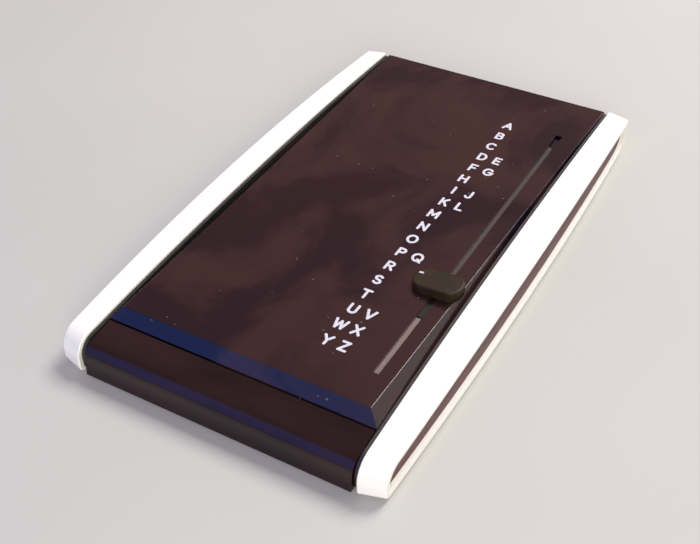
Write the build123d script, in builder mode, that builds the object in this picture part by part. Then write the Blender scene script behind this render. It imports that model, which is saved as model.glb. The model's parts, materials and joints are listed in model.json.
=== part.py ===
from build123d import *
import os
from math import atan, cos, degrees, pi, sin, sqrt

# Pop-up card index (telephone list finder). Millimetres, +X right, +Y towards the hinge, +Z up.
# The origin is on the surface it stands on, under the middle of the whole object.

# --- overall size ---
LENGTH = 200.0
HALF_LENGTH = LENGTH / 2
FOOT_PROUD = 0.8          # how far the rubber feet stand below the rails
RAIL_INNER_X = 49.2
RAIL_OUTER_END_X = 57.35  # half width at the ends of the rails
RAIL_OUTER_MID_X = 59.45  # half width half way along, where the rails bow out
OVERRUN = 2.0             # how far a cutting shape runs past what it cuts
MERGE = 0.2               # how far one feature runs into the next

# --- side rails ---
RAIL_TOP_FRONT_Z = 12.9
RAIL_TOP_REAR_Z = 14.05
RAIL_ARCH = 3.17          # rise of the top edge above the line between its ends
RAIL_DROP = 1.35          # the outer top edge lies this much below the inner one
RAIL_FRONT_SETBACK = 2.35
RAIL_REAR_SETBACK = 0.5
RAIL_NOSE_RADIUS = 7.0
RAIL_TAIL_RADIUS = 9.5
RAIL_CHIN_RADIUS = 2.2    # lower front corner
RAIL_EDGE_RADIUS = 0.4
LIP_TOP = 1.35
LIP_BOTTOM = 2.0
LIP_END = 1.6
LIP_CHIN_RADIUS = 1.0
PANEL_RECESS = 1.6
PANEL_THICKNESS = 1.2
RAIL_CORE_DEPTH = 3.4     # depth of the moulding cores on the hidden inner side
SCREW_Y = (-60.0, 0.0, 60.0)
SCREW_Z = 6.0
SCREW_R = 1.1
SCREW_HEAD_R = 2.0
SCREW_HEAD = 1.1
SCREW_GRIP = 3.6          # depth of the hole in the rail
SCREW_TIP_GAP = 0.4
CORE_Y = (-76.0, -30.0, 30.0, 76.0)
CORE_LENGTH = 24.0
CORE_HEIGHT = 6.4

# --- lid ---
LID_FRONT_Y = -81.9       # front edge of the flat top
LID_FRONT_Z = 16.97
LID_REAR_Z = 13.67
LID_HALF_WIDTH = 47.7
LID_TOP_HALF_WIDTH = 44.1 # of the flat top, at its front edge
LID_LOWER_Y = -85.0       # front face below the bevel
BEVEL_LOW_Z = 13.1
LID_SKIRT_FRONT_Z = 10.4
LID_SKIRT_REAR_Z = 11.0
LID_WALL = 1.6
LID_EDGE_R = 0.3
TILT = atan((LID_FRONT_Z - LID_REAR_Z) / (HALF_LENGTH - LID_FRONT_Y))
LID_MID_Z = LID_FRONT_Z + LID_FRONT_Y * sin(TILT) / cos(TILT)

# --- hinge ---
HINGE_Y = 93.5
HINGE_Z = 7.3
HINGE_ROD_R = 1.0
HINGE_V = HINGE_Y * cos(TILT) + (LID_MID_Z - HINGE_Z) * sin(TILT)
HINGE_W = HINGE_Y * sin(TILT) - (LID_MID_Z - HINGE_Z) * cos(TILT)
LUG_X = (44.4, 46.1)
LUG_R = 2.3
COIL_R = 1.4
COIL_WIRE_R = 0.3
COIL_PITCH = 0.75
COIL_TURNS = 7
COIL_OUTER_X = 43.8
COIL_LEG = 4.2
COIL_FOOT_Z = 3.0
ROD_CHAMFER = 0.3         # as a share of a rod's radius
SLIDE_FIT = 0.05          # radial clearance of a turning pin
FIXED_FIT = 0.02          # clearance of a piece that stays where it is put

# --- index letters, leaves and rings ---
ROWS = ("a", "b", "c", "de", "fg", "h", "ij", "kl", "m",
        "n", "o", "pq", "r", "s", "t", "uv", "wx", "yz")
ROW_FIRST_V = 72.0
ROW_PITCH = 8.0118
REST_ROW = 12             # the selector stands at R
LEAF_PITCH = 0.32
LEAF_THICKNESS = 0.28
LEAF_FRONT_V = -80.2
LEAF_LEFT_X = -43.2
LEAF_CUT_X = 41.0         # right edge behind a leaf's own letter
LEAF_TAB_X = 42.4         # right edge in front of it, which the selector's foot lifts
LEAF_BEHIND_RING = 1.0
LEAF_STEP = 1.0           # length of the slant between a leaf's wide and narrow edge
LEAF_CORNER_R = 3.0
LEAF_SLOT_WIDTH = 1.3
LEAF_SLOT_SLACK = 0.15
RIB_UNDER_LID_V = (-50.0, 0.0, 50.0)
RIB_UNDER_LID_X = (-44.0, 30.0)
RIB_UNDER_LID_DEPTH = 1.1
RIB_UNDER_LID_HALF = 0.5
RING_X = (-28.0, 0.0, 28.0)
RING_R = 4.0
RING_WIRE_R = 0.4

# --- base tray ---
TRAY_BOTTOM_Z = 1.2
TRAY_FLOOR = 1.4
TRAY_FLOOR_Z = TRAY_BOTTOM_Z + TRAY_FLOOR
TRAY_HALF_WIDTH = 49.1
TRAY_WALL = 1.2
WALL_BELOW_RAIL = 1.0     # the side walls end this much below the rails' inner edges
WALL_NOSE_Y = -98.4
WALL_NOSE_R = 6.0
WALL_TAIL_R = 8.0
TRAY_FRONT_WALL_Y = (-83.2, -81.6)
TRAY_FRONT_WALL_Z = 9.6
TRAY_TONGUE_Y = -96.8     # front edge of the floor, inside the release bar
TRAY_TONGUE_X = 44.8
CRADLE_R = (4.75, 5.9)    # curved rear wall, round the hinge axis
CRADLE_HALF_WIDTH = 45.9  # it fits between the lid's side skirts
CRADLE_TOP_DEG = 8.0      # low enough for the lid's underside to clear it at 45 degrees
FLOOR_REAR_Y = 96.7
RIB_X = (-36.0, -18.0, 0.0, 18.0, 36.0)
RIB_THICKNESS = 1.2
RIB_REAR_Y = 86.0
POST_X = (-14.0, 14.0)
POST_WIDTH = 3.0
POST_R = 1.9
POST_FRONT = 0.5          # front face of a post, ahead of the hinge axis
SADDLE_HALF = (1.5, 2.2)
FOOT_X = 40.0
FOOT_Y = 84.0
FOOT_R = 4.0
FOOT_SUNK = 0.4

FOOT_EDGE_R = 0.3
DRIVE_SLOT = 0.5
FLOOR_SPAN = (TRAY_BOTTOM_Z, TRAY_FLOOR_Z)
FROM_BELOW = (Align.CENTER, Align.CENTER, Align.MIN)
SADDLE_TOP_Z = 4.2
SPRING_PEG_R = 1.0
SPRING_PEG_HEIGHT = 1.4

# --- release bar ---
BAR_HALF_WIDTH = 47.4
BAR_REAR_Y = -85.5
BAR_REAR_TOP_Z = 12.75
BAR_NOSE_Y = -99.65
BAR_NOSE_TOP = (-98.6, 11.1)  # corner of the outline before it is rounded
BAR_BOTTOM_Z = 1.1
BAR_WALL = 1.6
BAR_NOSE_RADIUS = 5.0
BAR_LIP_Z = 9.5           # lower edge of the rear wall, which latches the lid
BAR_PIVOT = (-91.5, 4.0)
BAR_ROD_R = 0.8
BAR_ROD_REACH = 47.2
BAR_EAR_R = 2.2
BAR_POST_X = (40.5, 44.0)
CATCH_X = 24.0
CATCH_WIDTH = 8.0
CATCH_HOLD = 0.45         # how far the catch reaches under the bar's lip
CATCH_GAP = 0.1
CATCH_NOSE = 1.0
BAR_END_REAR_Y = -89.3    # rear edge of the bar's end walls below its lip
BAR_PAD_Z = 9.0           # where the return springs press
BAR_PAD = 4.0
BAR_PAD_DEPTH = 1.4
BAR_SPRING_X = 30.0
BAR_SPRING_Y = -95.2
BAR_SPRING_R = 1.5
BAR_SPRING_WIRE_R = 0.25
BAR_SPRING_TURNS = 6
BAR_SPRING_FOOT_GAP = 0.05
BAR_SPRING_SLACK = 0.3

# --- selector ---
SLOT_X = 38.6
SLOT_WIDTH = 2.0
SLOT_V = (-69.2, 67.6)
SLOT_END_V = 75.2
SLOT_END_WIDTH = 2.4
RECESS_X = (35.6, 42.4)   # thinned strip of the lid's underside, where the slide plate runs
RECESS_V = (-80.9, 86.0)
RECESS_W = -0.7
PLATE_X = (36.0, 42.0)
PLATE_W = (-1.07, -0.72)
PLATE_FRONT = 14.2        # reach of the slide plate in front of the knob's centre
PLATE_REAR = 7.5
STRIP_X = (36.6, 40.6)
STRIP_V = (-80.6, 67.6)
STRIP_W = (-1.52, -1.12)
STRIP_EAR_X = 32.4        # ears reach this far left, under the lid's stakes
STRIP_EAR_V = (-76.0, -24.0, 28.0, 62.0)
STRIP_EAR_LENGTH = 5.0
BRIDGE_X = (34.0, 40.8)   # closes the slot's wide end from below, clear of the slide plate
BRIDGE_V = (67.8, 77.0)
EAR_RECESS = 0.2          # room round an ear in the lid
STAKE_X = 34.0
STAKE_R = 0.8
STAKE_HEAD_R = 1.3
STAKE_HEAD = 0.45
HOOK_PATH = ((41.7, -0.9), (41.7, -2.6), (43.55, -2.6), (43.55, -10.15), (41.5, -10.15))
HOOK_THICKNESS = 0.5
HOOK_WIDTH = 4.0
KNOB_X = (29.4, 46.3)
KNOB_LENGTH = 9.9         # along the slot
KNOB_LOW_END = 2.6        # height over the lid at the pointer end
KNOB_HIGH_END = 4.1
KNOB_GAP = 0.15
KNOB_CORNER_R = 4.3
KNOB_EDGE_R = 0.6
STEM_WIDTH = 1.8
STEM_LENGTH = 5.0
MARK_AHEAD = 1.6          # the pointer mark lies this far behind the knob's centre
MARK_SHORT = 0.76         # and this far short of the middle of its row
MARK_SIZE = (1.5, 0.8)
MARK_DEPTH = 0.3
MARK_FROM_END = 1.6
MARK_PROUD = 0.04
PIN_R = 0.5               # countersunk screw that holds the slide plate to the stem
PIN_HEAD_R = 0.95
PIN_LENGTH = 3.6
KNOB_V = ROW_FIRST_V - REST_ROW * ROW_PITCH - MARK_SHORT - MARK_AHEAD

os.makedirs("parts", exist_ok=True)

lid_plane = Plane(origin=(0, 0, LID_MID_Z), x_dir=(1, 0, 0), z_dir=(0, sin(TILT), cos(TILT)))


def side_plane(x=0.0):
    """Upright plane at x: sketch coordinates are (y, z)."""
    return Plane(origin=(x, 0, 0), x_dir=(0, 1, 0), z_dir=(1, 0, 0))


def save(piece, label):
    """Label a finished piece and write it."""
    piece.part.label = label
    export_step(piece.part, f"parts/{label}.step")


def rail_top_z(y):
    """Height of a rail's inner top edge."""
    s = (y + HALF_LENGTH) / LENGTH
    straight = RAIL_TOP_FRONT_Z * (1 - s) + RAIL_TOP_REAR_Z * s
    return straight + 4 * RAIL_ARCH * s * (1 - s)


def rail_outline(x, front, rear, top_inset, low_z, nose_radius, tail_radius, chin_radius):
    """Side view of a rail at x, of the opening inside its band, or of the wall beside it."""
    with BuildSketch(side_plane(x)) as outline:
        with BuildLine():
            arch = ThreePointArc(
                (front, rail_top_z(front) - top_inset),
                (0, rail_top_z(0) - top_inset),
                (rear, rail_top_z(rear) - top_inset),
            )
            Polyline(arch @ 1, (rear, low_z), (front, low_z), arch @ 0)
        make_face()
        nose = outline.vertices().group_by(Axis.X)[0].sort_by(Axis.Y)[-1]
        fillet(nose, nose_radius)
        tail = outline.vertices().group_by(Axis.X)[-1].sort_by(Axis.Y)[0]
        fillet(tail, tail_radius)
        chin = outline.vertices().group_by(Axis.X)[0].sort_by(Axis.Y)[0]
        fillet(chin, chin_radius)
    return outline.sketch


def rail_plan(outer_inset=0.0):
    """Plan view of the right rail: straight inner face, bowed outer face, ends left long."""
    ends = HALF_LENGTH + OVERRUN
    with BuildSketch() as plan:
        with BuildLine():
            bow = ThreePointArc(
                (RAIL_OUTER_END_X - outer_inset, -ends),
                (RAIL_OUTER_MID_X - outer_inset, 0),
                (RAIL_OUTER_END_X - outer_inset, ends),
            )
            Polyline(bow @ 1, (RAIL_INNER_X, ends), (RAIL_INNER_X, -ends), bow @ 0)
        make_face()
    return plan.sketch


def band_opening(outer_inset):
    """The space inside a rail's band, outside a bowed face this far in from the outer one."""
    outline = rail_outline(
        0,
        -HALF_LENGTH + RAIL_FRONT_SETBACK + LIP_END,
        HALF_LENGTH - RAIL_REAR_SETBACK - LIP_END,
        RAIL_DROP + LIP_TOP,
        FOOT_PROUD + LIP_BOTTOM,
        RAIL_NOSE_RADIUS - LIP_END,
        RAIL_TAIL_RADIUS - LIP_END,
        LIP_CHIN_RADIUS,
    )
    inside = rail_plan(outer_inset)
    with BuildPart() as opening:
        extrude(outline, amount=RAIL_OUTER_MID_X + OVERRUN)
        extrude(inside, amount=2 * RAIL_TOP_REAR_Z, mode=Mode.SUBTRACT)
        Box(2 * RAIL_INNER_X, 2 * LENGTH, LENGTH, mode=Mode.SUBTRACT)
    return opening.part


def fillet_rail_edges(rail):
    """Softens the long top edges of the rail being built."""
    arches = rail.edges().filter_by(lambda e: e.length > 0.8 * LENGTH).sort_by(Axis.Z)[-2:]
    fillet(arches, RAIL_EDGE_RADIUS)


def right_rail():
    """Closed band with a sloping, arched top, open on its outer side for the panel."""
    plan = rail_plan()
    opening = band_opening(PANEL_RECESS + PANEL_THICKNESS)
    radii = (RAIL_NOSE_RADIUS, RAIL_TAIL_RADIUS, RAIL_CHIN_RADIUS)
    inner_side = rail_outline(RAIL_INNER_X, -HALF_LENGTH, HALF_LENGTH, 0, FOOT_PROUD, *radii)
    reach = (RAIL_OUTER_MID_X - RAIL_INNER_X) / (RAIL_OUTER_END_X - RAIL_INNER_X)
    outer_side = rail_outline(
        RAIL_OUTER_MID_X,
        -HALF_LENGTH + RAIL_FRONT_SETBACK * reach,
        HALF_LENGTH - RAIL_REAR_SETBACK * reach,
        RAIL_DROP,
        FOOT_PROUD,
        *radii,
    )
    with BuildPart() as rail:
        loft([inner_side, outer_side], ruled=True)
        extrude(plan, amount=2 * RAIL_TOP_REAR_Z, mode=Mode.INTERSECT)
        fillet_rail_edges(rail)
        add(opening, mode=Mode.SUBTRACT)
        with Locations(*[(RAIL_INNER_X, y, SCREW_Z) for y in CORE_Y]):
            Box(2 * RAIL_CORE_DEPTH, CORE_LENGTH, CORE_HEIGHT, mode=Mode.SUBTRACT)
        with Locations(*[Location((RAIL_INNER_X, y, SCREW_Z), (0, 90, 0)) for y in SCREW_Y]):
            Cylinder(SCREW_R + FIXED_FIT, 2 * SCREW_GRIP, mode=Mode.SUBTRACT)
    return rail


def right_panel():
    """Side panel that fills the band's opening, set back from its lips."""
    back = band_opening(PANEL_RECESS + PANEL_THICKNESS)
    front = band_opening(PANEL_RECESS)
    with BuildPart() as panel:
        add(back)
        add(front, mode=Mode.SUBTRACT)
    return panel


def save_pair(right, label):
    """Write the right-hand piece and its mirror image."""
    save(right, f"right_{label}")
    with BuildPart() as left:
        mirror(right.part, about=Plane.YZ)
    save(left, f"left_{label}")


def box(x, y, z, mode=Mode.ADD):
    """Box between pairs of corner coordinates, in the piece being built."""
    size = [high - low for low, high in (x, y, z)]
    middle = [(low + high) / 2 for low, high in (x, y, z)]
    with Locations(tuple(middle)):
        Box(*size, mode=mode)


def lid_box(x, v, w, mode=Mode.ADD):
    """The same in the lid's tilted frame: w = 0 is the lid's top."""
    with Locations(lid_plane):
        box(x, v, w, mode)


def lid_pin(x, v, w, radius, mode=Mode.ADD):
    """Round pin square to the lid's top."""
    with Locations(lid_plane):
        with Locations((x, v, w[0])):
            Cylinder(radius, w[1] - w[0], align=FROM_BELOW, mode=mode)


def both(low, high):
    """The span low..high and its mirror image."""
    return ((low, high), (-high, -low))


# ---------------------------------------------------------------- base tray


def wall_outline():
    """Side view of the tray's side walls, which follow the rails a little below their tops."""
    return rail_outline(
        0,
        WALL_NOSE_Y,
        HINGE_Y + CRADLE_R[1],
        WALL_BELOW_RAIL,
        TRAY_BOTTOM_Z,
        WALL_NOSE_R,
        WALL_TAIL_R,
        RAIL_CHIN_RADIUS,
    )


def cradle_outline():
    """Curved rear wall, concentric with the hinge so that the lid's rear skirt clears it."""
    top = CRADLE_TOP_DEG
    with BuildSketch(side_plane()) as outline:
        with Locations((HINGE_Y, HINGE_Z)):
            Circle(CRADLE_R[1])
            Circle(CRADLE_R[0], mode=Mode.SUBTRACT)
        with BuildLine():
            Polyline(
                (HINGE_Y, TRAY_FLOOR_Z - MERGE),
                (HINGE_Y, HINGE_Z),
                (HINGE_Y + 2 * CRADLE_R[1], HINGE_Z + 2 * CRADLE_R[1] * sin(top * pi / 180)),
                (HINGE_Y + 2 * CRADLE_R[1], TRAY_FLOOR_Z - MERGE),
                close=True,
            )
        make_face(mode=Mode.INTERSECT)
    return outline.sketch


def rib_outline():
    """Rib under the leaves: its top is parallel to the lid."""
    with BuildSketch(side_plane()) as outline:
        with BuildLine():
            Polyline(
                (TRAY_FRONT_WALL_Y[1] - MERGE, TRAY_BOTTOM_Z),
                (TRAY_FRONT_WALL_Y[1] - MERGE, stack_bottom_z(TRAY_FRONT_WALL_Y[1])),
                (RIB_REAR_Y, stack_bottom_z(RIB_REAR_Y)),
                (RIB_REAR_Y, TRAY_BOTTOM_Z),
                close=True,
            )
        make_face()
    return outline.sketch


def stack_bottom_z(y):
    """Height of the plane that the lowest leaf rests on."""
    half_stack = len(ROWS) / 2 * LEAF_PITCH
    return LID_MID_Z - y * sin(TILT) / cos(TILT) + (HINGE_W - half_stack) / cos(TILT) - FIXED_FIT


def add_posts():
    """Hinge posts, ring saddles and the release bar's bearing posts, before they are bored."""
    for x in POST_X:
        half = POST_WIDTH / 2
        post_y = (HINGE_Y - POST_FRONT, HINGE_Y + POST_R)
        box((x - half, x + half), post_y, (TRAY_BOTTOM_Z, HINGE_Z))
        with Locations(Location((x, HINGE_Y, HINGE_Z), (0, 90, 0))):
            Cylinder(POST_R, POST_WIDTH)
    wide, deep = SADDLE_HALF
    for x in RING_X:
        box((x - wide, x + wide), (HINGE_Y - deep, HINGE_Y + deep), (TRAY_BOTTOM_Z, SADDLE_TOP_Z))
    for span in both(*BAR_POST_X):
        box(
            span,
            (BAR_PIVOT[0] - BAR_EAR_R, BAR_PIVOT[0] + BAR_EAR_R),
            (TRAY_BOTTOM_Z, BAR_PIVOT[1] + BAR_EAR_R),
        )
    for x in (-BAR_SPRING_X, BAR_SPRING_X):
        with Locations((x, BAR_SPRING_Y, TRAY_FLOOR_Z)):
            Cylinder(SPRING_PEG_R, 2 * SPRING_PEG_HEIGHT)


def bore_tray():
    """Holes for both rods, the rings and the rail screws, and the feet's recesses."""
    rod_hole = HINGE_ROD_R + FIXED_FIT
    with Locations(Location((0, HINGE_Y, HINGE_Z), (0, 90, 0))):
        Cylinder(rod_hole, 4 * TRAY_HALF_WIDTH, mode=Mode.SUBTRACT)
    with Locations(Location((0, *BAR_PIVOT), (0, 90, 0))):
        Cylinder(BAR_ROD_R + FIXED_FIT, 2 * (BAR_POST_X[1] + OVERRUN), mode=Mode.SUBTRACT)
    with Locations(*[Location((x, HINGE_Y, HINGE_Z), (0, 90, 0)) for x in RING_X]):
        Torus(RING_R, RING_WIRE_R + FIXED_FIT, mode=Mode.SUBTRACT)
    wall_x = TRAY_HALF_WIDTH - TRAY_WALL / 2
    screw_spots = [(x, y, SCREW_Z) for x in (-wall_x, wall_x) for y in SCREW_Y]
    with Locations(*[Location(spot, (0, 90, 0)) for spot in screw_spots]):
        Cylinder(SCREW_R + FIXED_FIT, 2 * TRAY_WALL, mode=Mode.SUBTRACT)
    with Locations((0, 0, TRAY_BOTTOM_Z)):
        with GridLocations(2 * FOOT_X, 2 * FOOT_Y, 2, 2):
            Cylinder(FOOT_R + FIXED_FIT, 2 * FOOT_SUNK, mode=Mode.SUBTRACT)


def base_tray():
    """Floor, side walls, front wall, curved hinge wall, ribs and posts."""
    walls, cradle, rib = wall_outline(), cradle_outline(), rib_outline()
    inner_wall_x = TRAY_HALF_WIDTH - TRAY_WALL
    width = (-inner_wall_x - MERGE, inner_wall_x + MERGE)
    with BuildPart() as tray:
        box((-TRAY_TONGUE_X, TRAY_TONGUE_X), (TRAY_TONGUE_Y, FLOOR_REAR_Y), FLOOR_SPAN)
        box(width, (TRAY_FRONT_WALL_Y[0], FLOOR_REAR_Y), FLOOR_SPAN)
        box(width, TRAY_FRONT_WALL_Y, (TRAY_BOTTOM_Z, TRAY_FRONT_WALL_Z))
        for x in (inner_wall_x, -TRAY_HALF_WIDTH):
            extrude(walls.moved(Location((x, 0, 0))), amount=TRAY_WALL)
        extrude(cradle, amount=CRADLE_HALF_WIDTH, both=True)
        for x in RIB_X:
            extrude(rib.moved(Location((x - RIB_THICKNESS / 2, 0, 0))), amount=RIB_THICKNESS)
        add_posts()
        bore_tray()
    return tray


def rubber_feet():
    """Four round feet, sunk a little into the floor."""
    with BuildPart() as feet:
        with GridLocations(2 * FOOT_X, 2 * FOOT_Y, 2, 2):
            Cylinder(FOOT_R, TRAY_BOTTOM_Z + FOOT_SUNK, align=FROM_BELOW)
        low_edges = feet.edges().group_by(Axis.Z)[0]
        fillet(low_edges, FOOT_EDGE_R)
    return feet


def screw(head_r, head, shank_r, shank):
    """Pan-head screw along Z with its head below z = 0 and its tip at z = shank."""
    with BuildPart() as body:
        Cylinder(shank_r, shank, align=FROM_BELOW)
        with Locations((0, 0, -head)):
            Cylinder(head_r, head, align=FROM_BELOW)
        fillet(body.edges().group_by(Axis.Z)[0], head / 3)
        with Locations((0, 0, -head)):
            Box(2 * head_r, DRIVE_SLOT, head, mode=Mode.SUBTRACT)
    return body.part


def rail_screws():
    """Six screws driven outwards through the tray's walls into the rails."""
    blank = screw(SCREW_HEAD_R, SCREW_HEAD, SCREW_R, TRAY_WALL + SCREW_GRIP - SCREW_TIP_GAP)
    inner_wall_x = TRAY_HALF_WIDTH - TRAY_WALL
    with BuildPart() as screws:
        for y in SCREW_Y:
            add(blank.moved(Location((inner_wall_x, y, SCREW_Z), (0, 90, 0))))
            add(blank.moved(Location((-inner_wall_x, y, SCREW_Z), (0, -90, 0))))
    return screws


def rod(radius, length, y, z):
    """Plain steel rod along X with chamfered ends."""
    with BuildPart() as body:
        with Locations(Location((0, y, z), (0, 90, 0))):
            Cylinder(radius, length)
        chamfer(body.edges().filter_by(GeomType.CIRCLE), radius * ROD_CHAMFER)
    return body


def coil(radius, wire_r, pitch, turns):
    """Helical spring body along Z from z = 0."""
    path = Helix(pitch, turns * pitch, radius, mode=Mode.PRIVATE)
    with BuildPart() as body:
        with BuildSketch(Plane(origin=path @ 0, z_dir=path % 0)):
            Circle(wire_r)
        sweep(path=path, is_frenet=True)
    return body.part


def lid_spring(side):
    """Torsion spring on the hinge rod; its outer end rises beside the leaves to the lid."""
    wound = coil(COIL_R, COIL_WIRE_R, COIL_PITCH, COIL_TURNS)
    inner_x = COIL_OUTER_X - COIL_TURNS * COIL_PITCH
    with BuildPart() as spring:
        add(wound.moved(Location((inner_x, HINGE_Y, HINGE_Z), (0, 90, 0))))
        with Locations((inner_x, HINGE_Y + COIL_R, COIL_FOOT_Z)):
            Cylinder(COIL_WIRE_R, HINGE_Z - COIL_FOOT_Z, align=FROM_BELOW)
        with Locations((COIL_OUTER_X, HINGE_Y - COIL_R, HINGE_Z)):
            Cylinder(COIL_WIRE_R, COIL_LEG, align=FROM_BELOW)
    if side > 0:
        return spring
    with BuildPart() as left:
        mirror(spring.part, about=Plane.YZ)
    return left


# ---------------------------------------------------------------- lid


def lid_side_outline(skirt_drop=0.0):
    """Side view of the lid, its open lower edge let down by skirt_drop."""
    with BuildSketch(side_plane()) as outline:
        with BuildLine():
            Polyline(
                (LID_LOWER_Y, LID_SKIRT_FRONT_Z - skirt_drop),
                (LID_LOWER_Y, BEVEL_LOW_Z),
                (LID_FRONT_Y, LID_FRONT_Z),
                (HALF_LENGTH, LID_REAR_Z),
                (HALF_LENGTH, LID_SKIRT_REAR_Z - skirt_drop),
                close=True,
            )
        make_face()
    return outline.sketch


def lid_end_outline(low_z):
    """End view of the lid with its two bevels."""
    with BuildSketch(Plane.XZ) as outline:
        with BuildLine():
            Polyline(
                (-LID_HALF_WIDTH, low_z),
                (-LID_HALF_WIDTH, BEVEL_LOW_Z),
                (-LID_TOP_HALF_WIDTH, LID_FRONT_Z),
                (LID_TOP_HALF_WIDTH, LID_FRONT_Z),
                (LID_HALF_WIDTH, BEVEL_LOW_Z),
                (LID_HALF_WIDTH, low_z),
                close=True,
            )
        make_face()
    return outline.sketch


def lid_block(skirt_drop=0.0, inset=0.0):
    """Outer form of the lid, or with an inset the hollow inside its walls."""
    side, end = lid_side_outline(skirt_drop), lid_end_outline(0)
    if inset:
        side = offset(side, -inset, kind=Kind.INTERSECTION)
        end = offset(end, -inset, kind=Kind.INTERSECTION)
    with BuildPart() as block:
        extrude(side, amount=LID_HALF_WIDTH, both=True)
        extrude(end, amount=LENGTH, both=True, mode=Mode.INTERSECT)
    return block.part


def catch_outline():
    """Hanging catch at the lid's front edge, with its nose under the release bar's lip."""
    nose_top = BAR_LIP_Z - CATCH_GAP
    with BuildSketch(side_plane()) as outline:
        with BuildLine():
            Polyline(
                (LID_LOWER_Y + LID_WALL, BEVEL_LOW_Z),
                (LID_LOWER_Y, BEVEL_LOW_Z),
                (LID_LOWER_Y, nose_top),
                (BAR_REAR_Y - CATCH_HOLD, nose_top),
                (LID_LOWER_Y, nose_top - CATCH_NOSE),
                (LID_LOWER_Y + LID_WALL, nose_top - CATCH_NOSE),
                close=True,
            )
        make_face()
    return outline.sketch


def lug_outline():
    """Hinge lug: an eye round the rod, hung from the lid's underside."""
    top_z = HINGE_Z + (-LID_WALL - HINGE_W) + MERGE
    with BuildSketch(side_plane()) as outline:
        with Locations((HINGE_Y, HINGE_Z)):
            Circle(LUG_R)
        with Locations((HINGE_Y, (HINGE_Z + top_z) / 2)):
            Rectangle(2 * LUG_R, top_z - HINGE_Z)
    return outline.sketch


def lid():
    """Lid shell with its slot, hinge lugs, catches, cross ribs and stakes."""
    outer, hollow = lid_block(), lid_block(2 * LID_WALL, LID_WALL)
    catch, lug = catch_outline(), lug_outline()
    with BuildPart() as body:
        add(outer)
        crown = body.faces().sort_by(Axis.Z)[-1]
        fillet(crown.edges(), LID_EDGE_R)
        add(hollow, mode=Mode.SUBTRACT)
        for x in (-CATCH_X, CATCH_X):
            extrude(catch.moved(Location((x - CATCH_WIDTH / 2, 0, 0))), amount=CATCH_WIDTH)
        for low, high in both(*LUG_X):
            extrude(lug.moved(Location((low, 0, 0))), amount=high - low)
        for v in RIB_UNDER_LID_V:
            depth = (-LID_WALL - RIB_UNDER_LID_DEPTH, -LID_WALL + MERGE)
            lid_box(RIB_UNDER_LID_X, (v - RIB_UNDER_LID_HALF, v + RIB_UNDER_LID_HALF), depth)
        cut_selector_track()
        with Locations(Location((0, HINGE_Y, HINGE_Z), (0, 90, 0))):
            Cylinder(HINGE_ROD_R + SLIDE_FIT, 2 * LID_HALF_WIDTH, mode=Mode.SUBTRACT)
    return body


def cut_selector_track():
    """Slot, the thinned track under it, a bridge at its end, and staked recesses for the strip."""
    below = -LID_WALL - MERGE
    through = (-OVERRUN, OVERRUN)
    lid_box(RECESS_X, RECESS_V, (below, RECESS_W), Mode.SUBTRACT)
    half, end_half = SLOT_WIDTH / 2, SLOT_END_WIDTH / 2
    lid_box((SLOT_X - half, SLOT_X + half), SLOT_V, through, Mode.SUBTRACT)
    end_v = (SLOT_V[1], SLOT_END_V)
    lid_box((SLOT_X - end_half, SLOT_X + end_half), end_v, through, Mode.SUBTRACT)
    lid_box(BRIDGE_X, BRIDGE_V, (STRIP_W[0], STRIP_W[1]))
    for v in STRIP_EAR_V:
        reach = STRIP_EAR_LENGTH / 2 + EAR_RECESS
        ear_x = (STRIP_EAR_X - EAR_RECESS, RECESS_X[0] + MERGE)
        lid_box(ear_x, (v - reach, v + reach), (below, STRIP_W[1]), Mode.SUBTRACT)
        lid_pin(STAKE_X, v, (STRIP_W[0] - STAKE_HEAD, STRIP_W[1] + MERGE), STAKE_R)
        lid_pin(STAKE_X, v, (STRIP_W[0] - STAKE_HEAD, STRIP_W[0]), STAKE_HEAD_R)


def guide_strip():
    """Pale strip under the slot that carries the slide plate, with four ears."""
    with BuildPart() as strip:
        lid_box(STRIP_X, STRIP_V, STRIP_W)
        for v in STRIP_EAR_V:
            half = STRIP_EAR_LENGTH / 2
            lid_box((STRIP_EAR_X, STRIP_X[0] + MERGE), (v - half, v + half), STRIP_W)
            through = (STRIP_W[0] - OVERRUN, STRIP_W[1] + OVERRUN)
            lid_pin(STAKE_X, v, through, STAKE_R + FIXED_FIT, Mode.SUBTRACT)
    return strip


# ---------------------------------------------------------------- selector


def knob_top_w(x):
    """Height of the knob's sloping top over the lid."""
    along = (x - KNOB_X[0]) / (KNOB_X[1] - KNOB_X[0])
    return KNOB_LOW_END + along * (KNOB_HIGH_END - KNOB_LOW_END)


def lid_end_plane(v):
    """Upright plane across the lid at v: sketch coordinates are (x, w)."""
    origin = lid_plane.from_local_coords((0, v, 0))
    return Plane(origin=origin, x_dir=(1, 0, 0), z_dir=(0, -cos(TILT), sin(TILT)))


def pointer_mark():
    """White pointer mark, let into the knob's top near its low end."""
    slope = atan((KNOB_HIGH_END - KNOB_LOW_END) / (KNOB_X[1] - KNOB_X[0]))
    x = KNOB_X[0] + MARK_FROM_END
    middle_w = knob_top_w(x) - MARK_DEPTH / 2 + MARK_PROUD
    with BuildPart() as mark:
        with Locations(lid_plane):
            with Locations(Location((x, KNOB_V + MARK_AHEAD, middle_w), (0, -degrees(slope), 0))):
                Box(*MARK_SIZE, MARK_DEPTH)
    return mark


def plate_screw(clearance=0.0):
    """Countersunk screw, flush under the slide plate, that runs up into the knob's stem."""
    plate_low, plate_high = PLATE_W
    with BuildPart() as body:
        with Locations(lid_plane):
            with Locations((SLOT_X, KNOB_V, plate_low)):
                Cone(
                    PIN_HEAD_R + clearance,
                    PIN_R + clearance,
                    plate_high - plate_low,
                    align=FROM_BELOW,
                )
        lid_pin(SLOT_X, KNOB_V, (plate_low, plate_low + PIN_LENGTH + clearance), PIN_R + clearance)
    return body


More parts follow.
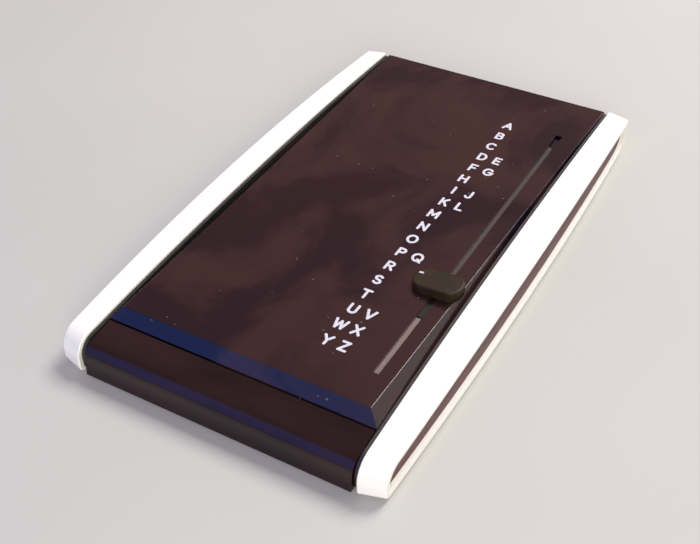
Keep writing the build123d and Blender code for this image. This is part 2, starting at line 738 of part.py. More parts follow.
def knob():
    """Rounded knob with a sloping top and a stem through the slot."""
    mark, screw_hole = pointer_mark().part, plate_screw(FIXED_FIT).part
    end_plane = lid_end_plane(KNOB_V)
    centre_x = (KNOB_X[0] + KNOB_X[1]) / 2
    low_x, high_x = KNOB_X[0] - OVERRUN, KNOB_X[1] + OVERRUN
    with BuildPart() as body:
        with BuildSketch(lid_plane.offset(KNOB_GAP)):
            with Locations((centre_x, KNOB_V)):
                RectangleRounded(KNOB_X[1] - KNOB_X[0], KNOB_LENGTH, KNOB_CORNER_R)
        extrude(amount=2 * KNOB_HIGH_END)
        with BuildSketch(end_plane):
            with BuildLine():
                Polyline(
                    (low_x, -OVERRUN),
                    (low_x, knob_top_w(low_x)),
                    (high_x, knob_top_w(high_x)),
                    (high_x, -OVERRUN),
                    close=True,
                )
            make_face()
        extrude(amount=KNOB_LENGTH, both=True, mode=Mode.INTERSECT)
        fillet(body.faces().sort_by(Axis.Z)[-1].edges(), KNOB_EDGE_R)
        half, reach = STEM_WIDTH / 2, STEM_LENGTH / 2
        stem_v = (KNOB_V - reach, KNOB_V + reach)
        lid_box((SLOT_X - half, SLOT_X + half), stem_v, (PLATE_W[1], KNOB_GAP + MERGE))
        add(mark, mode=Mode.SUBTRACT)
        add(screw_hole, mode=Mode.SUBTRACT)
    return body


def slide_plate():
    """Thin plate under the lid with the hook that reaches round the leaves' edges."""
    screw_hole = plate_screw(FIXED_FIT).part
    hook_v = KNOB_V + MARK_AHEAD
    with BuildPart() as plate:
        lid_box(PLATE_X, (KNOB_V - PLATE_FRONT, KNOB_V + PLATE_REAR), PLATE_W)
        with BuildSketch(lid_end_plane(hook_v)):
            with BuildLine():
                Polyline(*HOOK_PATH)
            trace(line_width=HOOK_THICKNESS)
        extrude(amount=HOOK_WIDTH / 2, both=True)
        add(screw_hole, mode=Mode.SUBTRACT)
    return plate


# ---------------------------------------------------------------- release bar


def bar_outline(low_z):
    """Side view of the release bar: flat top falling into a rounded nose."""
    with BuildSketch(side_plane()) as outline:
        with BuildLine():
            Polyline(
                (BAR_REAR_Y, low_z),
                (BAR_REAR_Y, BAR_REAR_TOP_Z),
                BAR_NOSE_TOP,
                (BAR_NOSE_Y, low_z),
                close=True,
            )
        make_face()
        nose = outline.vertices().sort_by(Axis.Y)[2]
        fillet(nose, BAR_NOSE_RADIUS)
    return outline.sketch


def release_bar():
    """Rocking bar: shell with end walls, pivot eyes, a latching lip and two spring pads."""
    outer = bar_outline(BAR_BOTTOM_Z)
    inner = offset(bar_outline(-BAR_WALL), -BAR_WALL, kind=Kind.INTERSECTION)
    hollow_x = BAR_HALF_WIDTH - BAR_WALL
    rear_of_wall = BAR_REAR_Y + MERGE
    with BuildPart() as bar:
        extrude(outer, amount=BAR_HALF_WIDTH, both=True)
        extrude(inner, amount=hollow_x, both=True, mode=Mode.SUBTRACT)
        wide = (-BAR_HALF_WIDTH - OVERRUN, BAR_HALF_WIDTH + OVERRUN)
        box(wide, (BAR_END_REAR_Y, rear_of_wall), (0, BAR_LIP_Z), Mode.SUBTRACT)
        for x in (-BAR_SPRING_X, BAR_SPRING_X):
            half = BAR_PAD / 2
            pad_y = (BAR_SPRING_Y - half, BAR_SPRING_Y + half)
            box((x - half, x + half), pad_y, (BAR_PAD_Z, BAR_PAD_Z + BAR_PAD_DEPTH))
        with Locations(Location((0, *BAR_PIVOT), (0, 90, 0))):
            Cylinder(BAR_ROD_R + SLIDE_FIT, 2 * (BAR_HALF_WIDTH + OVERRUN), mode=Mode.SUBTRACT)
    return bar


def release_spring(x):
    """Compression spring under the release bar, round its peg on the tray."""
    height = BAR_PAD_Z - TRAY_FLOOR_Z - 2 * BAR_SPRING_WIRE_R - BAR_SPRING_SLACK
    wound = coil(BAR_SPRING_R, BAR_SPRING_WIRE_R, height / BAR_SPRING_TURNS, BAR_SPRING_TURNS)
    foot_z = TRAY_FLOOR_Z + BAR_SPRING_WIRE_R + BAR_SPRING_FOOT_GAP
    with BuildPart() as spring:
        add(wound.moved(Location((x, BAR_SPRING_Y, foot_z))))
    return spring


# ---------------------------------------------------------------- leaves and rings


def leaf(index):
    """One index leaf: its right edge is wide in front of its own letter and cut back behind it."""
    centre_w = HINGE_W + ((len(ROWS) - 1) / 2 - index) * LEAF_PITCH
    height = abs(centre_w - HINGE_W)
    near, far = max(height - LEAF_THICKNESS / 2, 0), height + LEAF_THICKNESS / 2
    slot_rear = -sqrt((RING_R - RING_WIRE_R) ** 2 - far**2) + LEAF_SLOT_SLACK
    slot_front = -sqrt((RING_R + RING_WIRE_R) ** 2 - near**2) - LEAF_SLOT_SLACK
    rear_v = HINGE_V + slot_rear + LEAF_BEHIND_RING
    tab_v = ROW_FIRST_V - (index + 0.5) * ROW_PITCH
    with BuildPart() as sheet:
        with BuildSketch(lid_plane.offset(centre_w - LEAF_THICKNESS / 2)) as outline:
            with BuildLine():
                Polyline(
                    (LEAF_LEFT_X, LEAF_FRONT_V),
                    (LEAF_TAB_X, LEAF_FRONT_V),
                    (LEAF_TAB_X, tab_v - LEAF_STEP),
                    (LEAF_CUT_X, tab_v),
                    (LEAF_CUT_X, rear_v),
                    (LEAF_LEFT_X, rear_v),
                    close=True,
                )
            make_face()
            fillet(outline.vertices().group_by(Axis.Y)[0], LEAF_CORNER_R)
            with Locations(*[(x, HINGE_V + (slot_front + slot_rear) / 2) for x in RING_X]):
                Rectangle(LEAF_SLOT_WIDTH, slot_rear - slot_front, mode=Mode.SUBTRACT)
        extrude(amount=LEAF_THICKNESS)
    return sheet


def binding_ring(x):
    """Wire ring round the hinge axis that the leaves turn on."""
    with BuildPart() as ring:
        with Locations(Location((x, HINGE_Y, HINGE_Z), (0, 90, 0))):
            Torus(RING_R, RING_WIRE_R)
    return ring


# ---------------------------------------------------------------- build


save_pair(right_rail(), "side_rail")
save_pair(right_panel(), "side_panel")
save(base_tray(), "base_tray")
save(rubber_feet(), "rubber_feet")
save(rail_screws(), "rail_screws")
save(rod(HINGE_ROD_R, 2 * TRAY_HALF_WIDTH, HINGE_Y, HINGE_Z), "hinge_rod")
save(rod(BAR_ROD_R, 2 * BAR_ROD_REACH, *BAR_PIVOT), "release_bar_rod")
save(lid(), "lid")
save(guide_strip(), "guide_strip")
save(knob(), "selector_knob")
save(pointer_mark(), "pointer_mark")
save(slide_plate(), "slide_plate")
save(plate_screw(), "slide_plate_screw")
save(release_bar(), "release_bar")
for name, sign in (("left", -1), ("right", 1)):
    save(lid_spring(sign), f"{name}_lid_spring")
    save(release_spring(sign * BAR_SPRING_X), f"{name}_release_spring")
for name, x in zip(("left", "middle", "right"), RING_X):
    save(binding_ring(x), f"{name}_binding_ring")
for row, letters in enumerate(ROWS):
    save(leaf(row), f"index_leaf_{letters}")
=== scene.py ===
import json
from math import cos, pi, radians, sin

import bmesh
import bpy
from mathutils import Matrix, Vector


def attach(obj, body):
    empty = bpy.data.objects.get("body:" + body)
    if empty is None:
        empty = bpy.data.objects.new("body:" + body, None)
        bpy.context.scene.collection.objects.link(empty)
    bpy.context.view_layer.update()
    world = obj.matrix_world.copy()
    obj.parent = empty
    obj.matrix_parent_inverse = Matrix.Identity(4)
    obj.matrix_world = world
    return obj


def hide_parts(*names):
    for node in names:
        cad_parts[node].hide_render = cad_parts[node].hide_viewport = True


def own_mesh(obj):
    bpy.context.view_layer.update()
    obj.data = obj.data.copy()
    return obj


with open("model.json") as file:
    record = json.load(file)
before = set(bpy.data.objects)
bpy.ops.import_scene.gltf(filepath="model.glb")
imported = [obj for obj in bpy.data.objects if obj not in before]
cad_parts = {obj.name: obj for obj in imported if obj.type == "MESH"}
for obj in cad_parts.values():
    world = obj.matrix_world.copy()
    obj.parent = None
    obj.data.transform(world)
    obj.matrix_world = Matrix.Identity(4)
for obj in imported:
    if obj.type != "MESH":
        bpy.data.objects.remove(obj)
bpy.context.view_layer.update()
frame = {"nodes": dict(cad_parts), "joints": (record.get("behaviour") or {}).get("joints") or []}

# Pop-up card index. Metres, in the CAD frame: +X right, +Y towards the hinge, +Z up.
MM = 0.001
nodes = frame["nodes"]

# --------------------------------------------------------------- the lid's own frame

slide = next(j for j in frame["joints"] if j["name"] == "selector_slide")
lid_along = Vector(slide["axis"]).normalized()
lid_across = Vector((1, 0, 0))
lid_up = lid_across.cross(lid_along)
lid_top = max(lid_up.dot(v.co) for v in nodes["lid"].data.vertices)


def on_lid(x, v, w):
    """Point at x across, v along and w above the lid's top."""
    return lid_across * x + lid_along * v + lid_up * (lid_top + w)


def lid_matrix(x, v, w):
    """Placement on the lid: local X across, local Y towards the hinge, local Z out of it."""
    turn = Matrix((lid_across, lid_along, lid_up)).transposed().to_4x4()
    return Matrix.Translation(on_lid(x, v, w)) @ turn


# --------------------------------------------------------------- camera

VIEW_AZIMUTH = radians(30.63)
VIEW_ELEVATION = radians(40.66)
VIEW_ROLL = radians(-1.38)
VIEW_DISTANCE = 0.359
VIEW_TARGET = Vector((0.0075, -0.0299, 0.013))
LENS_MM = 56.48
SENSOR_MM = 36


def make_camera():
    """Camera at the photograph's viewing angle."""
    data = bpy.data.cameras.new("camera")
    data.lens = LENS_MM
    data.sensor_width = SENSOR_MM
    data.clip_start = 0.01
    camera = bpy.data.objects.new("camera", data)
    bpy.context.scene.collection.objects.link(camera)
    turn = (
        Matrix.Rotation(VIEW_AZIMUTH, 4, "Z")
        @ Matrix.Rotation(pi / 2 - VIEW_ELEVATION, 4, "X")
        @ Matrix.Rotation(VIEW_ROLL, 4, "Z")
    )
    back = turn.to_3x3() @ Vector((0, 0, 1))
    camera.matrix_world = Matrix.Translation(VIEW_TARGET + back * VIEW_DISTANCE) @ turn
    bpy.context.scene.camera = camera


# --------------------------------------------------------------- materials


class Nodes:
    """Short names for building one node material."""

    def __init__(self, name):
        self.material = bpy.data.materials.new(name)
        self.material.use_nodes = True
        self.tree = self.material.node_tree
        self.shader = self.tree.nodes["Principled BSDF"]
        coordinates = self.tree.nodes.new("ShaderNodeTexCoord")
        self.place = coordinates.outputs["Object"]

    def link(self, source, target):
        self.tree.links.new(source, target)

    def scaled(self, stretch):
        """Object coordinates stretched along the axes."""
        mapping = self.tree.nodes.new("ShaderNodeMapping")
        mapping.inputs["Scale"].default_value = stretch
        self.link(self.place, mapping.inputs["Vector"])
        return mapping.outputs["Vector"]

    def noise(self, scale, detail, rough, warp=0.0, stretch=(1, 1, 1)):
        """Noise pattern; warp bends it, and a small stretch draws it out along that axis."""
        node = self.tree.nodes.new("ShaderNodeTexNoise")
        node.inputs["Scale"].default_value = scale
        node.inputs["Detail"].default_value = detail
        node.inputs["Roughness"].default_value = rough
        node.inputs["Distortion"].default_value = warp
        self.link(self.scaled(stretch), node.inputs["Vector"])
        return node.outputs["Fac"]

    def ramp(self, source, stops):
        """Colour ramp from (position, colour) pairs; a number stands for a grey."""
        node = self.tree.nodes.new("ShaderNodeValToRGB")
        elements = node.color_ramp.elements
        while len(elements) < len(stops):
            elements.new(0.5)
        for element, (position, colour) in zip(elements, stops):
            element.position = position
            grey = isinstance(colour, (int, float))
            element.color = (colour, colour, colour, 1) if grey else (*colour, 1)
        self.link(source, node.inputs["Fac"])
        return node.outputs["Color"]

    def mix(self, factor, first, second):
        """Mix of two colours, each a socket or a colour."""
        node = self.tree.nodes.new("ShaderNodeMix")
        node.data_type = "RGBA"
        for socket, value in ((node.inputs[0], factor), (node.inputs[6], first), (node.inputs[7], second)):
            if isinstance(value, bpy.types.NodeSocket):
                self.link(value, socket)
            else:
                socket.default_value = value if isinstance(value, float) else (*value, 1)
        return node.outputs[2]

    def forward(self, rear, front):
        """0 behind the rear Y, rising to 1 at the front Y."""
        split = self.tree.nodes.new("ShaderNodeSeparateXYZ")
        self.link(self.place, split.inputs["Vector"])
        node = self.tree.nodes.new("ShaderNodeMapRange")
        node.inputs["From Min"].default_value = rear
        node.inputs["From Max"].default_value = front
        self.link(split.outputs["Y"], node.inputs["Value"])
        return node.outputs["Result"]

    def bump(self, height, strength, distance):
        node = self.tree.nodes.new("ShaderNodeBump")
        node.inputs["Strength"].default_value = strength
        node.inputs["Distance"].default_value = distance
        self.link(height, node.inputs["Height"])
        self.link(node.outputs["Normal"], self.shader.inputs["Normal"])

    def colour(self, source):
        self.link(source, self.shader.inputs["Base Color"])

    def roughness(self, source, low, high):
        """Roughness that follows a 0 to 1 pattern between two values."""
        node = self.tree.nodes.new("ShaderNodeMapRange")
        node.inputs["To Min"].default_value = low
        node.inputs["To Max"].default_value = high
        self.link(source, node.inputs["Value"])
        self.link(node.outputs["Result"], self.shader.inputs["Roughness"])

    def set(self, **values):
        """Constants straight on the shader's sockets, such as Coat_Weight=0.5."""
        for name, value in values.items():
            self.shader.inputs[name.replace("_", " ")].default_value = value


def lid_plastic():
    """Polished dark brown moulding with fine dust; its cloudy purple-black patches are a painted
    reflection of a mottled sky and trees.
    """
    m = Nodes("lid_brown_gloss")
    mottled_tone_and_painted_reflection = m.noise(26, 5, 0.55, 0.6, (1, 0.8, 1))
    # painted reflection: the dark to light cloudy ramp stands in for mottled sky and trees mirrored in the
    # polished top
    dark, middle, light = (0.003, 0.001, 0.005), (0.014, 0.006, 0.009), (0.023, 0.0095, 0.0095)
    base = m.ramp(mottled_tone_and_painted_reflection, [(0.43, dark), (0.50, middle), (0.58, light)])
    specks = m.ramp(m.noise(700, 0, 0.5), [(0.855, 0.0), (0.875, 1.0)])
    m.colour(m.mix(specks, base, (0.09, 0.075, 0.075)))
    m.roughness(m.noise(60, 3, 0.6, 0.3), 0.14, 0.22)
    m.bump(m.noise(180, 2, 0.5), 0.04, 0.0004)
    m.set(IOR=1.52)
    return m.material


def bar_plastic():
    """The same moulding on the release bar, more handled, so a little duller on top."""
    m = Nodes("bar_brown_gloss")
    mottled_tone_and_painted_reflection = m.noise(34, 4, 0.5, 0.4, (0.5, 1.4, 1.4))
    m.colour(m.ramp(mottled_tone_and_painted_reflection, [(0.36, (0.010, 0.003, 0.004)), (0.64, (0.022, 0.008, 0.009))]))
    m.roughness(m.noise(90, 3, 0.6, 0.2, (0.4, 1, 1)), 0.13, 0.21)
    m.bump(m.noise(220, 2, 0.5), 0.03, 0.0004)
    m.set(Specular_IOR_Level=0.38)
    return m.material


def rail_plastic():
    """Glossy white, slightly warm moulding, yellowed a little in patches."""
    m = Nodes("rail_white_gloss")
    warm = m.noise(18, 3, 0.5)
    m.colour(m.ramp(warm, [(0.35, (0.86, 0.84, 0.80)), (0.65, (0.90, 0.885, 0.86))]))
    m.roughness(m.noise(70, 3, 0.6), 0.18, 0.32)
    m.bump(m.noise(240, 2, 0.5), 0.02, 0.0004)
    m.set(IOR=1.49)
    return m.material


def panel_plastic():
    """Satin mauve-brown side panel with a faint lengthwise grain."""
    m = Nodes("panel_mauve_satin")
    grain = m.noise(120, 4, 0.6, 0.2, (1, 0.05, 1))
    m.colour(m.ramp(grain, [(0.35, (0.072, 0.017, 0.024)), (0.65, (0.098, 0.026, 0.033))]))
    m.roughness(grain, 0.34, 0.50)
    m.bump(grain, 0.12, 0.0003)
    m.set(Specular_IOR_Level=0.16)
    return m.material


def tray_plastic():
    """Matt black-brown moulding with a fine spark-eroded texture."""
    m = Nodes("tray_black_matt")
    fine = m.noise(1400, 2, 0.6)
    broad = m.noise(30, 3, 0.5)
    m.colour(m.ramp(broad, [(0.35, (0.010, 0.008, 0.008)), (0.65, (0.020, 0.016, 0.015))]))
    m.roughness(fine, 0.42, 0.62)
    m.bump(fine, 0.25, 0.0002)
    return m.material


def knob_plastic():
    """Satin black knob, greenish-brown in the light where it has been rubbed."""
    m = Nodes("knob_black_satin")
    wear_and_painted_reflection = m.noise(240, 3, 0.55, 0.2)
    m.colour(m.ramp(wear_and_painted_reflection, [(0.35, (0.013, 0.007, 0.002)), (0.65, (0.023, 0.013, 0.004))]))
    fine = m.noise(2600, 2, 0.6)
    m.roughness(fine, 0.40, 0.56)
    m.bump(fine, 0.18, 0.00012)
    m.set(Specular_IOR_Level=0.30)
    return m.material


STRIP_PAINTED_REFLECTION_Y = (-16.0 * MM, -30.0 * MM)    # from the dull rear to the pale painted reflection at the front


def strip_metal():
    """Dull strip, streaked along its length, and painted pale towards the front as a reflection of bright
    sky.
    """
    m = Nodes("strip_painted_reflection")
    streak = m.noise(260, 4, 0.6, 0.1, (1, 0.03, 1))
    dull = m.ramp(streak, [(0.3, (0.040, 0.026, 0.027)), (0.7, (0.080, 0.058, 0.059))])
    # painted reflection: this pale ramp, blended in towards the front, stands in for sky light reflected
    # in the strip
    wear_and_painted_reflection = m.ramp(streak, [(0.3, (0.13, 0.09, 0.088)), (0.7, (0.26, 0.20, 0.195))])
    m.colour(m.mix(m.forward(*STRIP_PAINTED_REFLECTION_Y), dull, wear_and_painted_reflection))
    m.roughness(streak, 0.30, 0.55)
    m.bump(streak, 0.2, 0.0001)
    m.set(Metallic=0.35)
    return m.material


def plate_paint():
    """Black japanned slide plate and hook."""
    m = Nodes("plate_black_paint")
    worn = m.noise(420, 4, 0.6, 0.2, (1, 0.2, 1))
    m.colour(m.ramp(worn, [(0.62, (0.006, 0.005, 0.005)), (0.80, (0.030, 0.028, 0.027))]))
    m.roughness(worn, 0.45, 0.68)
    m.set(Specular_IOR_Level=0.3)
    return m.material


def steel():
    """Plated steel with fine turning marks."""
    m = Nodes("steel_plated")
    marks = m.noise(900, 3, 0.6, 0.0, (0.2, 1, 1))
    m.colour(m.ramp(marks, [(0.3, (0.42, 0.42, 0.41)), (0.7, (0.60, 0.60, 0.59))]))
    m.roughness(marks, 0.22, 0.42)
    m.set(Metallic=1.0)
    return m.material


def spring_wire():
    """Bright drawn wire."""
    m = Nodes("spring_wire")
    drawn = m.noise(1600, 2, 0.5)
    m.colour(m.ramp(drawn, [(0.3, (0.50, 0.50, 0.50)), (0.7, (0.66, 0.66, 0.67))]))
    m.roughness(drawn, 0.14, 0.28)
    m.set(Metallic=1.0)
    return m.material


def rubber():
    """Matt black rubber feet, dusty."""
    m = Nodes("rubber_matt")
    dust = m.noise(700, 4, 0.65)
    m.colour(m.ramp(dust, [(0.45, (0.012, 0.012, 0.012)), (0.75, (0.045, 0.043, 0.040))]))
    m.roughness(dust, 0.72, 0.92)
    m.bump(dust, 0.3, 0.0002)
    return m.material


def card():
    """Smooth cream index card with faint fibre."""
    m = Nodes("leaf_card")
    fibre = m.noise(900, 5, 0.7, 0.4, (1, 0.4, 1))
    m.colour(m.ramp(fibre, [(0.3, (0.70, 0.66, 0.54)), (0.7, (0.78, 0.74, 0.63))]))
    m.roughness(fibre, 0.55, 0.75)
    m.bump(fibre, 0.15, 0.00008)
    return m.material


def ink(name, colour, rough):
    """Printed ink with slight unevenness."""
    m = Nodes(name)
    uneven = m.noise(900, 3, 0.6)
    thin = tuple(c * 0.86 for c in colour)
    m.colour(m.ramp(uneven, [(0.3, thin), (0.6, colour)]))
    m.roughness(uneven, rough, rough + 0.12)
    return m.material


def dress(material, *names):
    """Gives CAD nodes their finished material."""
    for name in names:
        mesh = nodes[name].data
        mesh.materials.clear()
        mesh.materials.append(material)


def dress_all():
    """Every CAD node but the pointer mark, which takes the lid's ink."""
    dress(lid_plastic(), "lid")
    dress(bar_plastic(), "release_bar")
    dress(rail_plastic(), "left_side_rail", "right_side_rail")
    dress(panel_plastic(), "left_side_panel", "right_side_panel")
    dress(tray_plastic(), "base_tray")
    dress(knob_plastic(), "selector_knob")
    dress(strip_metal(), "guide_strip")
    dress(plate_paint(), "slide_plate")
    dress(rubber(), "rubber_feet")
    dress(steel(), "rail_screws", "hinge_rod", "release_bar_rod", "slide_plate_screw")
    wires = [name for name in nodes if name.endswith("_spring") or name.endswith("_ring")]
    dress(spring_wire(), *wires)
    dress(card(), *[name for name in nodes if name.startswith("index_leaf")])


def shortening_spring(name):
    """Copy of a release spring with its own mesh, set on the base in place of the hidden original."""
    piece = bpy.data.objects.new(name + "_coil", nodes[name].data.copy())
    bpy.context.scene.collection.objects.link(piece)
    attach(piece, "base")
    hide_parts(name)
    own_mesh(piece)


# --------------------------------------------------------------- printed letters

ROWS = ("A", "B", "C", "DE", "FG", "H", "IJ", "KL", "M", "N", "O", "PQ", "R", "S", "T", "UV", "WX", "YZ")
FIRST_ROW_V = 72.0 * MM
LETTER_COLUMNS = (19.0 * MM, 25.0 * MM)
CAP_HEIGHT = 4.75 * MM
STROKE = 1.0 * MM
INK_THICKNESS = 0.05 * MM
INK_SUNK = 0.015 * MM
ARC_STEP_DEG = 12
ARC_FEWEST_STEPS = 4


def arc(x, y, radius_x, radius_y, start, end):
    """Points along part of an ellipse, angles in degrees."""
    steps = max(ARC_FEWEST_STEPS, round(abs(end - start) / ARC_STEP_DEG))
    angles = [radians(start + (end - start) * i / steps) for i in range(steps + 1)]
    return [(x + radius_x * cos(a), y + radius_y * sin(a)) for a in angles]


def stem(x):
    """Upright stroke of full height at x."""
    return [(x, 0), (x, 1)]


# Centre lines of a plain block alphabet: x about the middle, y from 0 at the foot to 1 at the head.
STROKES = {
    "A": [[(-0.40, 0), (0, 1), (0.40, 0)], [(-0.27, 0.33), (0.27, 0.33)]],
    "B": [
        [(-0.28, 0), (-0.28, 1), (0.02, 1), *arc(0.02, 0.76, 0.24, 0.24, 80, -90), (-0.28, 0.52)],
        [(-0.28, 0.52), (0.04, 0.52), *arc(0.04, 0.26, 0.27, 0.26, 80, -90), (-0.28, 0)],
    ],
    "C": [arc(0.03, 0.5, 0.41, 0.5, 48, 312)],
    "D": [[(-0.32, 0), (-0.32, 1), (-0.04, 1), *arc(-0.04, 0.5, 0.40, 0.5, 80, -90), (-0.32, 0)]],
    "E": [[(0.27, 1), (-0.27, 1), (-0.27, 0), (0.27, 0)], [(-0.27, 0.52), (0.20, 0.52)]],
    "F": [[(0.27, 1), (-0.27, 1), (-0.27, 0)], [(-0.27, 0.50), (0.18, 0.50)]],
    "G": [[*arc(0.0, 0.5, 0.42, 0.5, 45, 350), (0.42, 0.46), (0.08, 0.46)]],
    "H": [stem(-0.33), stem(0.33), [(-0.33, 0.52), (0.33, 0.52)]],
    "I": [stem(0)],
    "J": [[(0.18, 1), *arc(-0.06, 0.26, 0.24, 0.26, 0, -165)]],
    "K": [stem(-0.28), [(0.30, 1), (-0.28, 0.40)], [(-0.07, 0.60), (0.34, 0)]],
    "L": [[(-0.25, 1), (-0.25, 0), (0.28, 0)]],
    "M": [[(-0.41, 0), (-0.41, 1), (0, 0.28), (0.41, 1), (0.41, 0)]],
    "N": [[(-0.34, 0), (-0.34, 1), (0.34, 0), (0.34, 1)]],
    "O": [arc(0, 0.5, 0.43, 0.5, 0, 360)],
    "P": [[(-0.28, 0), (-0.28, 1), (0.03, 1), *arc(0.03, 0.74, 0.27, 0.26, 80, -90), (-0.28, 0.48)]],
    "Q": [arc(0, 0.5, 0.43, 0.5, 0, 360), [(0.10, 0.26), (0.40, -0.06)]],
    "R": [
        [(-0.28, 0), (-0.28, 1), (0.03, 1), *arc(0.03, 0.74, 0.27, 0.26, 80, -90), (-0.28, 0.48)],
        [(0.02, 0.48), (0.34, 0)],
    ],
    "S": [[*arc(0, 0.755, 0.27, 0.245, 30, 255), *arc(0, 0.255, 0.29, 0.255, 75, -150)]],
    "T": [[(-0.34, 1), (0.34, 1)], stem(0)],
    "U": [[(-0.33, 1), *arc(0, 0.33, 0.33, 0.33, 180, 360), (0.33, 1)]],
    "V": [[(-0.38, 1), (0, 0), (0.38, 1)]],
    "W": [[(-0.52, 1), (-0.27, 0), (0, 0.86), (0.27, 0), (0.52, 1)]],
    "X": [[(-0.34, 0), (0.34, 1)], [(-0.34, 1), (0.34, 0)]],
    "Y": [[(-0.37, 1), (0, 0.47), (0.37, 1)], [(0, 0.47), (0, 0)]],
    "Z": [[(-0.31, 1), (0.31, 1), (-0.31, 0), (0.31, 0)]],
}


SHARP_TURN = radians(25)


def smooth_runs(points):
    """Splits a centre line at its sharp corners, so that each run keeps its full width."""
    points = [Vector((*point, 0)) for point in points]
    runs, run = [], [points[0]]
    for before, here, after in zip(points, points[1:], points[2:]):
        run.append(here)
        if (here - before).angle(after - here, 0) > SHARP_TURN:
            runs.append(run)
            run = [here]
    runs.append(run + [points[-1]])
    return runs


def stroke_mesh(runs, width):
    """Round strokes with rounded ends and corners along runs of points in metres."""
    curve = bpy.data.curves.new("stroke", "CURVE")
    curve.dimensions = "3D"
    curve.bevel_depth = width / 2
    curve.bevel_resolution = 2
    for run in runs:
        spline = curve.splines.new("POLY")
        spline.points.add(len(run) - 1)
        for target, point in zip(spline.points, run):
            target.co = (*point, 1)
    holder = bpy.data.objects.new("stroke", curve)
    bpy.context.scene.collection.objects.link(holder)
    bpy.context.view_layer.update()
    mesh = bpy.data.meshes.new_from_object(holder.evaluated_get(bpy.context.evaluated_depsgraph_get()))
    bpy.data.objects.remove(holder)
    ends = {tuple(end) for run in runs for end in (run[0], run[-1])}
    shape = bmesh.new()
    shape.from_mesh(mesh)
    for end in sorted(ends):
        turn = Matrix.Translation(end)
        bmesh.ops.create_uvsphere(shape, u_segments=16, v_segments=8, radius=width / 2, matrix=turn)
    for face in shape.faces:
        face.smooth = True
    shape.to_mesh(mesh)
    shape.free()
    return mesh


def ink_piece(name, mesh, width, thickness, place, material, body):
    """Flattens strokes to thin ink, puts them in place and lets them ride on a body."""
    mesh.transform(Matrix.Diagonal((1, 1, thickness / width, 1)))
    mesh.transform(place)
    mesh.materials.append(material)
    piece = bpy.data.objects.new(name, mesh)
    bpy.context.scene.collection.objects.link(piece)
    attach(piece, body)
    return piece


def letter_mesh(letter, height, width):
    """Mesh of one letter, centred on its own origin."""
    tall = height - width
    runs = [run for points in STROKES[letter] for run in smooth_runs(points)]
    middle = Vector((0, 0.5, 0))
    return stroke_mesh([[(point - middle) * tall for point in run] for run in runs], width)


def print_lid_letters(material):
    """Index letters on the lid, one row for each stop of the selector."""
    low, high = slide["range_m"]
    pitch = (high - low) / (len(ROWS) - 1)
    for row, letters in enumerate(ROWS):
        v = FIRST_ROW_V - row * pitch
        for x, letter in zip(LETTER_COLUMNS, letters):
            mesh = letter_mesh(letter, CAP_HEIGHT, STROKE)
            place = lid_matrix(x, v, INK_THICKNESS / 2 - INK_SUNK)
            name = f"letter_{letter}"
            piece = ink_piece(name, mesh, STROKE, INK_THICKNESS, place, material, "lid")


PAGE_INK_THICKNESS = 0.024 * MM
PAGE_LINE = 0.22 * MM
PAGE_LINE_PITCH = 7.0 * MM
PAGE_LINE_COUNT = 18
PAGE_X = (-38.0 * MM, 36.0 * MM)
PAGE_COLUMN_X = 8.0 * MM
PAGE_FIRST_V = -64.0 * MM
PAGE_LETTER = (32.0 * MM, -73.0 * MM)
PAGE_LETTER_HEIGHT = 6.5 * MM
PAGE_LETTER_STROKE = 1.1 * MM


def print_page(node, body, upper_side, line_material, letter_material):
    """Ruled lines, a column line and the row's letter on the face of a leaf that shows when opened."""
    heights = [lid_up.dot(vertex.co) for vertex in nodes[node].data.vertices]
    facing = 1 if upper_side else -1
    surface = lid_up * (max(heights) if upper_side else min(heights))
    turn = Matrix((lid_across, lid_along * facing, lid_up * facing)).transposed().to_4x4()
    lines = []
    for row in range(PAGE_LINE_COUNT):
        v = (PAGE_FIRST_V + row * PAGE_LINE_PITCH) * facing
        lines.append([Vector((x, v, 0)) for x in PAGE_X])
    last_v = PAGE_FIRST_V + (PAGE_LINE_COUNT - 1) * PAGE_LINE_PITCH
    lines.append([Vector((PAGE_COLUMN_X, v * facing, 0)) for v in (PAGE_FIRST_V, last_v)])
    place = Matrix.Translation(surface) @ turn
    ruling = stroke_mesh(lines, PAGE_LINE)
    ink_piece(f"ruling_{node}", ruling, PAGE_LINE, PAGE_INK_THICKNESS, place, line_material, body)
    spot = Matrix.Translation((PAGE_LETTER[0], PAGE_LETTER[1] * facing, 0))
    letter = letter_mesh("R", PAGE_LETTER_HEIGHT, PAGE_LETTER_STROKE)
    args = (PAGE_LETTER_STROKE, PAGE_INK_THICKNESS, place @ spot, letter_material, body)
    ink_piece(f"page_letter_{node}", letter, *args)


# --------------------------------------------------------------- stage and light


FLOOR_SIZE = 6


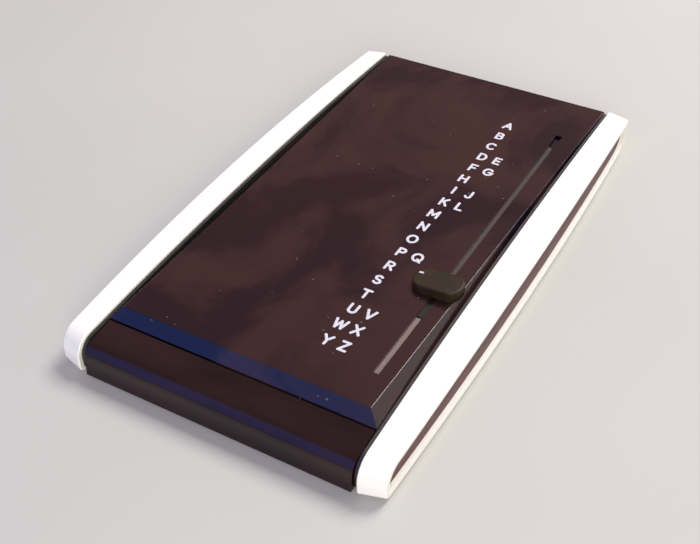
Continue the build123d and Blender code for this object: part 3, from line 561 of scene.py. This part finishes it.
def make_floor():
    """Plain pale floor."""
    bpy.ops.mesh.primitive_plane_add(size=FLOOR_SIZE)
    floor = bpy.context.object
    floor.name = "floor"
    m = Nodes("floor_pale")
    m.colour(m.ramp(m.noise(6, 2, 0.5), [(0.3, (0.46, 0.45, 0.437)), (0.7, (0.485, 0.475, 0.462))]))
    m.set(Roughness=0.75)
    floor.data.materials.append(m.material)


def area_light(name, direction, distance, size, power, colour):
    """Soft rectangular light that shines at the object from a direction."""
    data = bpy.data.lights.new(name, "AREA")
    data.shape = "RECTANGLE"
    data.size, data.size_y = size
    data.energy = power
    data.color = colour
    light = bpy.data.objects.new(name, data)
    bpy.context.scene.collection.objects.link(light)
    way = Vector(direction).normalized()
    light.location = way * distance
    light.rotation_euler = way.to_track_quat("Z", "Y").to_euler()


def make_lights():
    """Key light from above and behind, a fill by the camera, and three tinted cards."""
    world = bpy.data.worlds.new("studio")
    world.use_nodes = True
    background = world.node_tree.nodes["Background"]
    background.inputs["Color"].default_value = (0.86, 0.80, 0.78, 1)
    background.inputs["Strength"].default_value = 0.26
    bpy.context.scene.world = world
    area_light("key_rear", (0.20, 0.70, 1.0), 1.6, (0.7, 0.7), 27, (1.0, 0.985, 0.96))
    area_light("fill_camera", (0.60, -1.0, 0.60), 1.6, (0.8, 0.8), 20, (1.0, 0.955, 0.83))
    area_light("warm_card_rear", (-0.387, 0.653, 0.65), 1.6, (1.1, 0.9), 0.9, (1.0, 0.16, 0.12))
    area_light("blue_card_front", (-0.387, -0.80, 0.55), 1.3, (0.9, 1.25), 4.2, (0.0, 0.17, 1.0))
    area_light("grey_card_right", (0.672, 0.653, 0.335), 1.4, (1.6, 0.9), 3.6, (0.95, 0.9, 1.0))
    bpy.context.scene.view_settings.view_transform = "Standard"


make_camera()
dress_all()
shortening_spring("left_release_spring")
shortening_spring("right_release_spring")
white_ink = ink("ink_white", (0.60, 0.59, 0.67), 0.45)
dress(white_ink, "pointer_mark")
print_lid_letters(white_ink)
line_ink = ink("ink_ruling", (0.22, 0.34, 0.46), 0.6)
page_ink = ink("ink_brown", (0.05, 0.02, 0.02), 0.5)
print_page("index_leaf_r", "base", True, line_ink, page_ink)
print_page("index_leaf_pq", "raised_leaves", False, line_ink, page_ink)
make_floor()
make_lights()
